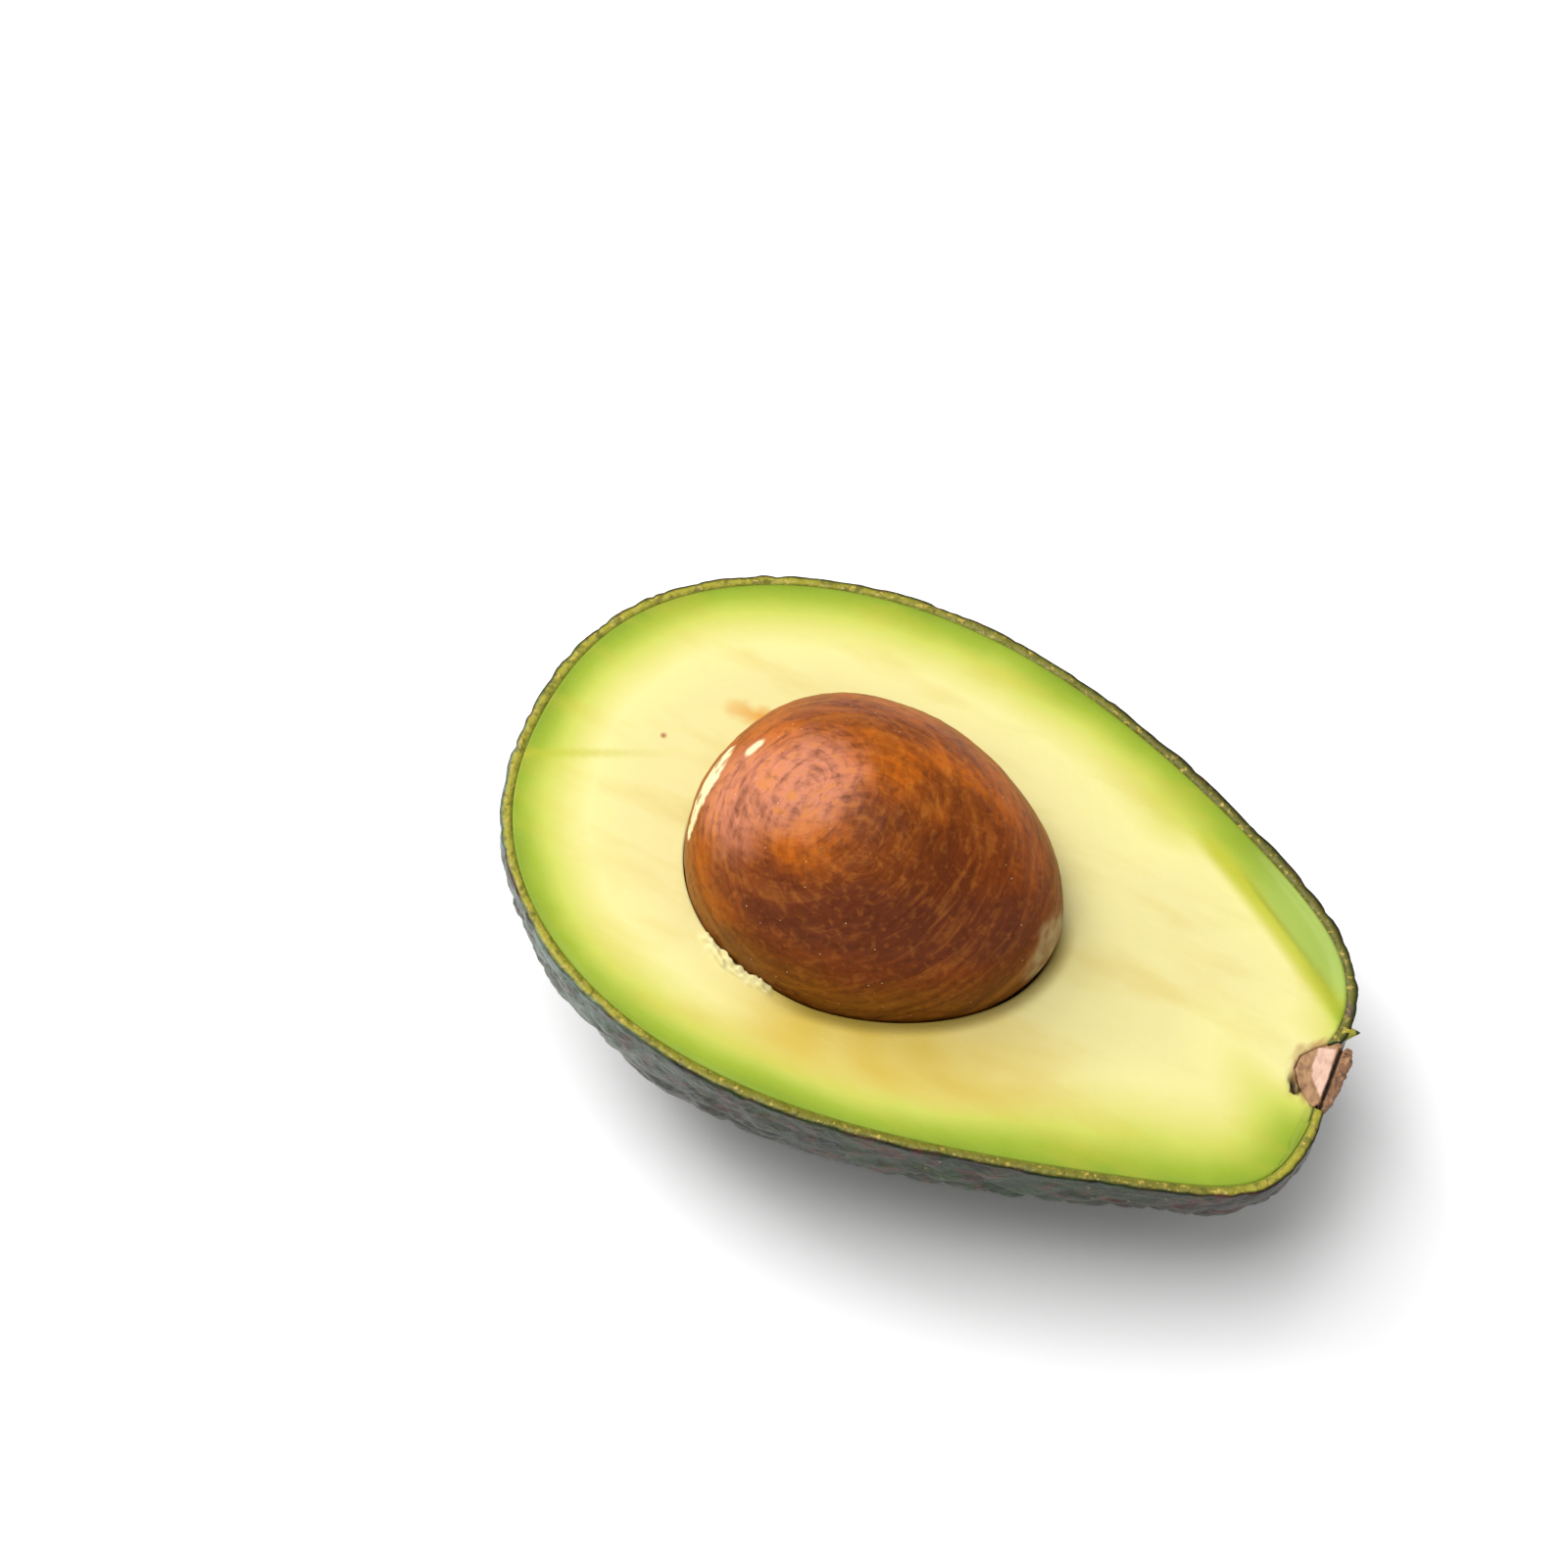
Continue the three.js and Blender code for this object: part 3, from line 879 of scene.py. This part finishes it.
class AVOCADO_OT_flesh(bpy.types.Operator):
    """Make the flesh with its cut face and the hollow round the seed"""

    bl_idname = "avocado.flesh"
    bl_label = "Flesh"

    SEGMENTS = 384
    HOLLOW_RINGS = 20
    FACE_RINGS = 84
    BACK_RINGS = 24
    GAP_TO_SEED = 0.08
    GAP_TO_PEEL = 0.03
    # The flesh ends this far over the floor, above the peel's flat spot.
    LOWEST = PEEL_THICKNESS + 0.3

    # Marks on the cut face, as lines through the places where they are
    FACET_EDGE = np.array([(26.3, 20.6), (45.8, 8.3)])
    STREAK = ((22.5, 21.6), (26.2, 19.4), (32.0, 16.4), (35.7, 13.9), (40.2, 10.8), (45.8, 7.8))
    FAINT_LINE = ((-48.6, -6.0), (-36.0, 0.7), (-31.0, 3.2))
    STAIN = ((-29.6, 10.6), (-25.0, 11.3))
    TORN_LIP = ((-20.6, -17.0), (-16.2, -19.6), (-10.7, -20.1))
    PIT = ((45.1, -3.3), (45.7, -4.2), (46.4, -3.7))
    PIT_DEPTH = 1.4
    FACET_DEPTH = 0.5
    ROLL_DEPTH = 0.8

    def execute(self, context):
        settings = context.scene.avocado_flesh
        rings = self.HOLLOW_RINGS + self.FACE_RINGS + self.BACK_RINGS
        piece = sphere("flesh_half", self.SEGMENTS, rings, along_x=False)
        unit = corners_of(piece)
        ring = np.rint(np.arccos(np.clip(unit[:, 2], -1, 1)) / math.pi * rings)
        heading = np.arctan2(unit[:, 1], unit[:, 0])
        outline = cut_outline(PEEL_THICKNESS + self.GAP_TO_PEEL)
        middle = np.array(SEED_MIDDLE)
        reach = radius_towards(outline, middle[:2], heading)
        ray = np.stack([np.cos(heading), np.sin(heading)], -1)

        # The hollow is the lower part of the egg, up to the cut face.
        share = np.clip(ring / self.HOLLOW_RINGS, 0, 1)
        flat_angle = math.asin(SEED_MIDDLE[2] / (SEED_WIDTH / 2))
        dip = share * (math.pi / 2 - flat_angle)
        down = np.stack([ray[:, 0] * np.sin(dip), ray[:, 1] * np.sin(dip), -np.cos(dip)], -1)
        hollow = middle + down * (seed_reach(down) + self.GAP_TO_SEED)[:, None]
        lip = self.lip_reach(ray)
        # The cut face runs from the lip to the outline.
        face_share = np.clip((ring - self.HOLLOW_RINGS) / self.FACE_RINGS, 0, 1)
        span = lip + face_share * (reach - lip)
        face = np.column_stack([middle[:2] + ray * span[:, None], np.zeros(len(ray))])
        # The back closes from the outline to its lowest point.
        back_share = np.clip((ring - self.HOLLOW_RINGS - self.FACE_RINGS) / self.BACK_RINGS, 0, 1)
        back = self.back(outline, middle, ray, reach, back_share)

        points = np.where((ring < self.HOLLOW_RINGS)[:, None], hollow, face)
        points = np.where((back_share > 0)[:, None], back, points)
        on_face = (ring >= self.HOLLOW_RINGS) & (back_share == 0)
        points[on_face, 2] += self.knife_relief(points[on_face], face_share[on_face])
        set_corners(piece, points)
        cut_socket(piece)
        points = corners_of(piece)
        self.store_tints(piece, points, outline)
        placed = place(points)
        placed[:, 2] = np.maximum(placed[:, 2], self.LOWEST * MM)
        set_corners(piece, placed)
        finish_piece(piece, "flesh", [cut_flesh(settings)])
        return {"FINISHED"}

    def lip_reach(self, ray):
        """How far the hollow's lip on the cut face is from the seed's middle, along flat rays."""
        sine = SEED_MIDDLE[2] / (SEED_WIDTH / 2)
        cosine = math.sqrt(1 - sine**2)
        direction = np.column_stack([ray * cosine, np.full(len(ray), -sine)])
        return (seed_reach(direction) + self.GAP_TO_SEED) * cosine

    def rolled(self, flat):
        """How much of the lip, in front of the seed, rolls down to the seed."""
        off = flat - np.array(SEED_MIDDLE[:2])
        far = np.linalg.norm(off, axis=1)
        from_lip = far - self.lip_reach(off / far[:, None])
        front = smoothstep(-13, -5, flat[:, 0]) * smoothstep(6, -2, flat[:, 1])
        return front * smoothstep(2.4, 0, from_lip)

    def back(self, outline, middle, ray, reach, share):
        """The flesh's back, just inside the peel."""
        closing = np.cos(share * math.pi / 2)
        flat = middle[:2] + ray * (reach * closing)[:, None]
        upper = outline[: len(outline) // 2]
        lower = outline[len(outline) // 2 :][::-1]
        top = np.interp(flat[:, 0], upper[:, 0], upper[:, 1])
        bottom = np.interp(flat[:, 0], lower[:, 0], lower[:, 1])
        half = (top - bottom) / 2
        off = flat[:, 1] - (top + bottom) / 2
        depth = BACK_DEPTH_SHARE * 0.99 * np.sqrt(np.maximum(half**2 - off**2, 0))
        return np.column_stack([flat, -depth])

    def knife_relief(self, points, face_share):
        """Soft waves that the knife left, the facet, the torn lip and the hole by the stalk."""
        waves = noise_at(points * np.array([0.5, 1.2, 1]), 7, 2, seed=3)
        calm = smoothstep(0, 0.06, face_share) * smoothstep(0, 0.05, 1 - face_share)
        broad = calm * (0.12 * waves - self.FACET_DEPTH * self.facet(points))
        crumbs = self.crumbs(points) * (0.5 + 0.8 * noise_at(points, 0.8, 2, seed=9))
        pit = self.PIT_DEPTH * self.pit(points)
        return broad + crumbs - pit - self.ROLL_DEPTH * self.rolled(points[:, :2])

    def from_facet_line(self, points):
        """How far points are along the facet's edge, and how far beyond it."""
        start, end = self.FACET_EDGE
        along = (end - start) / np.linalg.norm(end - start)
        off = points[:, :2] - start
        return off @ along, off @ np.array([-along[1], along[0]])

    def facet(self, points):
        """The flat that a second cut left beside the stem end."""
        run, beyond = self.from_facet_line(points)
        return smoothstep(1, 11, run) * smoothstep(-0.45, 0.5, beyond)

    def crumbs(self, points):
        """Torn flesh along the seed's front left."""
        far, share = from_line(points[:, :2], self.TORN_LIP)
        ragged = far + 0.35 * noise_at(points, 1.1, 2, seed=12)
        return smoothstep(1.0, 0.5, ragged) * smoothstep(0, 0.12, share * (1 - share) * 2)

    def pit(self, points):
        """The small hole beside the stalk."""
        far, _ = from_line(points[:, :2], self.PIT)
        return smoothstep(0.6, 0.2, far + 0.15 * noise_at(points, 0.6, 2, seed=13))

    def store_tints(self, piece, points, outline):
        """Depth under the rim, which sets the band of colour, and how much each mark shows."""
        flat = points[:, :2]
        x, y = flat.T
        rim = from_outline(points, outline)
        # The green band is wider towards the stem end.
        rim /= 1 + 0.4 * smoothstep(5, 35, x)
        # Beside the stalk the flesh stays pale.
        from_stalk = np.hypot((x - 45) / 4.5, (y - STUB_ACROSS) / 3.4)
        rim += 5 * np.exp(-(from_stalk**2))
        # So does the flesh inside the facet's edge.
        run, beyond = self.from_facet_line(points)
        inside = smoothstep(-0.8, -3, beyond) * smoothstep(-15, -8, beyond)
        rim += 4 * smoothstep(-6, 4, run) * inside
        # The inside of the hollow is as pale as the middle of the face.
        rim[points[:, 2] < -2.0] = 6.0
        store(piece, "rim_mm", rim)
        store(piece, "facet", 0.85 * self.facet(points))
        far, share = from_line(flat, self.STREAK)
        streak = smoothstep(1.8, 0.2, far) * smoothstep(0, 0.2, share) * (1 - share / 2)
        far, share = from_line(flat, self.FAINT_LINE)
        faint = smoothstep(0.8, 0.15, far) * smoothstep(1, 0.3, share)
        store(piece, "streak", np.clip(0.8 * streak + 0.5 * faint, 0, 1))
        # In front of the seed the flesh is a deeper yellow: partly its own colour, partly a
        # painted shadow of the seed.
        front = smoothstep(-8, -19, y) * smoothstep(-22, -6, x) * smoothstep(32, 12, x)
        clouds = 0.7 + 0.35 * noise_at(points, 9, 2, seed=16)
        store(piece, "deep", np.clip(front * clouds, 0, 1) * smoothstep(2.5, 7.5, rim))
        # Painted shade on the lip that rolls down to the seed in front of it
        store(piece, "lip", 0.65 * self.rolled(flat))
        far, share = from_line(flat, self.STAIN)
        smear = far + 0.5 * noise_at(points, 1.5, 3, seed=14)
        store(piece, "browning", (0.45 + 0.55 * share) * smoothstep(1.7, 0.3, smear))
        ragged = from_spot(flat, (48.4, STUB_ACROSS)) + 0.8 * noise_at(points, 1.2, 3, seed=8)
        store(piece, "torn", 0.85 * smoothstep(4.9, 3.6, ragged))
        store(piece, "crumbs", 0.8 * self.crumbs(points))
        # Painted shade in the small hole beside the stalk
        store(piece, "pit", self.pit(points))


class AVOCADO_OT_seed(bpy.types.Operator):
    """Make the egg-shaped seed"""

    bl_idname = "avocado.seed"
    bl_label = "Seed"

    SEGMENTS = 300
    RINGS = 200

    # Marks on the coat, and places of painted light and shade, as spots and as lines through the
    # places where they are
    LONG_SCRAPE = ((-26.2, -0.9, 10.9), (-26.5, -5.4, 8.7), (-26.6, -9.2, 5.2))
    SMALL_SCRAPE = ((-23.6, -1.7, 14.3), (-22.9, -0.7, 14.9))
    WORN_TIP = (15.2, -2.2, 2.6)
    CAP = ((-22.0, -7.0, 14.0), (-15.9, -4.2, 18.7))
    SHADED_MIDDLE = (-2.0, -9.0, 17.0)
    PLUM_BAND = ((-19.2, -14.0, 10.0), (-9.8, -16.0, 12.5), (1.0, -13.0, 13.0), (10.0, -7.0, 11.0))

    def execute(self, context):
        settings = context.scene.avocado_seed
        piece = sphere("seed_whole", self.SEGMENTS, self.RINGS, along_x=True)
        unit = corners_of(piece)
        reach = seed_reach(unit)
        lumps = 0.22 * noise_at(unit, 0.5, 2, seed=5) + 0.05 * noise_at(unit, 0.07, 3, seed=2)
        points = np.array(SEED_MIDDLE) + unit * (reach + lumps - 0.12)[:, None]
        set_corners(piece, points)
        self.store_marks(piece, points)
        set_corners(piece, place(points))
        finish_piece(piece, "seed", [seed_coat(settings)])
        return {"FINISHED"}

    def store_marks(self, piece, points):
        """How much each mark of the coat shows."""
        x, y, z = points.T
        ragged = 0.5 * noise_at(points, 2.5, 3, seed=21)
        far, share = from_line(points, self.LONG_SCRAPE)
        half_width = 1.6 * np.sqrt(np.maximum(np.sin(math.pi * (0.1 + 0.85 * share)), 0))
        long_scrape = smoothstep(half_width + 0.3, half_width, far + ragged)
        long_scrape *= 1 - 0.7 * smoothstep(0.15, 0.4, noise_at(points, 1.3, 2, seed=22))
        far, _ = from_line(points, self.SMALL_SCRAPE)
        small_scrape = smoothstep(0.8, 0.35, far + 0.3 * ragged)
        store(piece, "scraped", np.maximum(long_scrape, 0.85 * small_scrape))
        worn = np.clip(0.8 + 0.7 * noise_at(points, 1.4, 3, seed=23), 0, 1)
        from_tip = from_spot(points, self.WORN_TIP) + 2.5 * ragged
        store(piece, "tip", 0.9 * worn * smoothstep(6.0, 2.5, from_tip))
        store(piece, "foot", 0.7 * smoothstep(8.0, 1.5, z + 2 * ragged))
        # Redder towards the narrow end and the front: partly the coat's own tone, partly painted
        # shade on the side away from the key light.
        shade = points @ np.array([0.045, -0.035, 0.0]) + 0.3 + 0.6 * ragged
        store(piece, "shade", 0.7 * smoothstep(0, 1, shade))
        # Dull pink where the lines swirl: partly the coat's own colour, partly a painted sheen
        # where the key light reflects.
        far, _ = from_line(points, self.CAP)
        cap = smoothstep(8.5, 2.5, far + 2 * ragged)
        store(piece, "cap", 0.8 * cap)
        store(piece, "strands", 0.2 + 0.5 * cap)
        # Orange on the far side and the blunt end, which face the key light: partly the coat's own
        # colour, partly painted light.
        far_side = smoothstep(6, 13, y + 2 * ragged)
        blunt_end = smoothstep(-19, -24, x + 2 * ragged)
        store(piece, "orange_and_light", np.maximum(0.35 * far_side, 0.6 * blunt_end))
        # Painted shade over the middle of the seed's top, towards the front
        from_shaded_middle = from_spot(points, self.SHADED_MIDDLE) + 3 * ragged
        store(piece, "middle_shade", 0.6 * smoothstep(11, 4, from_shaded_middle))
        far, _ = from_line(points, self.PLUM_BAND)
        store(piece, "plum", 0.65 * smoothstep(6, 2, far + 2 * ragged))


class AVOCADO_OT_stalk_stub(bpy.types.Operator):
    """Make the stub of the stalk: pith, crack and bark"""

    bl_idname = "avocado.stalk_stub"
    bl_label = "Stalk stub"

    PITH = ((46.2, 1.7), (48.0, 2.4), (48.7, -2.4), (48.6, -4.1), (46.8, -2.1), (46.3, -0.6))
    CRACK = ((48.5, 2.6), (49.05, -5.2))

    def execute(self, context):
        settings = context.scene.avocado_stalk
        piece = turned_body("stalk_stub", STUB_STATIONS, STUB_ACROSS, 48)
        cut_away_above(piece, fill=True)
        apply_modifier(piece, "REMESH", mode="VOXEL", voxel_size=0.14)
        points = corners_of(piece)
        x, flat = points[:, 0], points[:, :2]
        on_cut = points[:, 2] > -0.25
        rough = noise_at(points, 0.9, 3, seed=6)
        pith = on_cut * smoothstep(-0.1, 0.15, depth_inside(flat, self.PITH) + 0.1 * rough)
        far, _ = from_line(flat, self.CRACK)
        crack = smoothstep(0.3, 0.1, far - 0.12 * rough) * (points[:, 2] > -1.5)
        crack_x, crack_y = np.array(self.CRACK[::-1]).T
        bark = smoothstep(0.1, 0.4, x - np.interp(flat[:, 1], crack_y, crack_x))
        torn = on_cut * (1 - pith) * (1 - bark)
        torn *= np.clip(0.75 + 0.7 * noise_at(points, 0.9, 2, seed=17), 0, 1)
        pith *= 0.9 + 0.3 * noise_at(points, 1.5, 2, seed=15)
        store(piece, "pith", np.clip(pith, 0, 1))
        store(piece, "crack", crack)
        store(piece, "torn", torn)
        points[:, 2] += np.where(on_cut, -0.25 * torn * np.abs(rough) - 0.9 * crack, 0)
        points[:, 0] += np.where(x > 49.2, 0.25 * rough, 0)
        set_corners(piece, place(points))
        finish_piece(piece, "stem_stub", [stalk_wood(settings)])
        return {"FINISHED"}


class AVOCADO_OT_stage(bpy.types.Operator):
    """Make the pale floor, the soft lights and the camera"""

    bl_idname = "avocado.stage"
    bl_label = "Stage"

    # The picture is this many pixels wide and high. The middle of the cut face is at this
    # pixel of it, right of and below the middle of the picture.
    PICTURE = 1600
    FRUIT_AT = (953.6, 906.8)
    FOCAL_PIXELS = 5709
    SENSOR = 36.0
    ROLL = math.radians(1.23)

    # Metres
    KEY_AT = (-0.74, 0.22, 0.82)
    KEY_SIZE = 0.6
    OVERHEAD_AT = (-0.18, -0.14, 1.14)
    OVERHEAD_SIZE = 0.8
    FLOOR_SIZE = 6

    def execute(self, context):
        settings = context.scene.avocado_stage
        self.floor(settings)
        self.surround(context, settings)
        self.light("key light", self.KEY_AT, self.KEY_SIZE, settings.key_power)
        self.light("overhead light", self.OVERHEAD_AT, self.OVERHEAD_SIZE, settings.overhead_power)
        self.camera(context, settings)
        # Plain colours, as a photograph's, with no film curve
        context.scene.view_settings.view_transform = "Standard"
        return {"FINISHED"}

    def floor(self, settings):
        deselect_all()
        bpy.ops.mesh.primitive_plane_add(size=self.FLOOR_SIZE)
        floor = bpy.context.object
        floor.name = "floor"
        floor.data.materials.append(matt_floor(settings))

    def surround(self, context, settings):
        world = bpy.data.worlds.new("even white surround")
        world.use_nodes = True
        tree = world.node_tree
        tree.nodes.clear()
        background = add_node(
            tree, "Background", {"Color": (1, 1, 1, 1), "Strength": settings.sky_strength}
        )
        add_node(tree, "OutputWorld", {"Surface": background.outputs["Background"]})
        context.scene.world = world

    def light(self, name, where, size, power):
        deselect_all()
        bpy.ops.object.light_add(type="AREA", location=where)
        light = bpy.context.object
        light.name = name
        light.data.shape = "SQUARE"
        light.data.size = size
        light.data.energy = power
        light.rotation_euler = Vector(where).to_track_quat("Z", "Y").to_euler()

    def camera(self, context, settings):
        azimuth, elevation = settings.azimuth, settings.elevation
        back = Vector(
            (
                math.sin(azimuth) * math.cos(elevation),
                -math.cos(azimuth) * math.cos(elevation),
                math.sin(elevation),
            )
        )
        level = Vector((math.cos(azimuth), math.sin(azimuth), 0))
        turn = Matrix((level, back.cross(level), back)).transposed()
        turn = turn @ Matrix.Rotation(self.ROLL, 3, "Z")
        right = self.FRUIT_AT[0] - self.PICTURE / 2
        below = self.FRUIT_AT[1] - self.PICTURE / 2
        turn = turn @ Matrix.Rotation(math.atan(right / self.FOCAL_PIXELS), 3, "Y")
        turn = turn @ Matrix.Rotation(math.atan(below / self.FOCAL_PIXELS), 3, "X")
        deselect_all()
        bpy.ops.object.camera_add(
            location=CUT_MIDDLE * MM + back * settings.distance, rotation=turn.to_euler()
        )
        camera = bpy.context.object
        camera.data.sensor_width = self.SENSOR
        camera.data.lens = self.SENSOR * self.FOCAL_PIXELS / self.PICTURE
        context.scene.camera = camera


class AVOCADO_PT_maker(bpy.types.Panel):
    bl_idname = "AVOCADO_PT_maker"
    bl_label = "Avocado Half"
    bl_space_type = "VIEW_3D"
    bl_region_type = "UI"
    bl_category = "Avocado"

    def draw(self, context):
        for group, _, maker in MAKERS:
            box = self.layout.box()
            box.operator(maker.bl_idname)
            settings = getattr(context.scene, group)
            for name in settings.__annotations__:
                box.prop(settings, name, text=name.replace("_", " ").capitalize())


# Each maker, with its settings and their name in the scene
MAKERS = (
    ("avocado_stage", AvocadoStageSettings, AVOCADO_OT_stage),
    ("avocado_peel", AvocadoPeelSettings, AVOCADO_OT_peel),
    ("avocado_flesh", AvocadoFleshSettings, AVOCADO_OT_flesh),
    ("avocado_seed", AvocadoSeedSettings, AVOCADO_OT_seed),
    ("avocado_stalk", AvocadoStalkSettings, AVOCADO_OT_stalk_stub),
)


def register():
    for name, group, maker in MAKERS:
        bpy.utils.register_class(group)
        setattr(bpy.types.Scene, name, bpy.props.PointerProperty(type=group))
        bpy.utils.register_class(maker)
    bpy.utils.register_class(AVOCADO_PT_maker)


def unregister():
    bpy.utils.unregister_class(AVOCADO_PT_maker)
    for name, group, maker in reversed(MAKERS):
        bpy.utils.unregister_class(maker)
        delattr(bpy.types.Scene, name)
        bpy.utils.unregister_class(group)


def main():
    register()
    bpy.ops.avocado.stage()
    bpy.ops.avocado.peel()
    bpy.ops.avocado.flesh()
    bpy.ops.avocado.seed()
    bpy.ops.avocado.stalk_stub()


if __name__ == "__main__":
    main()
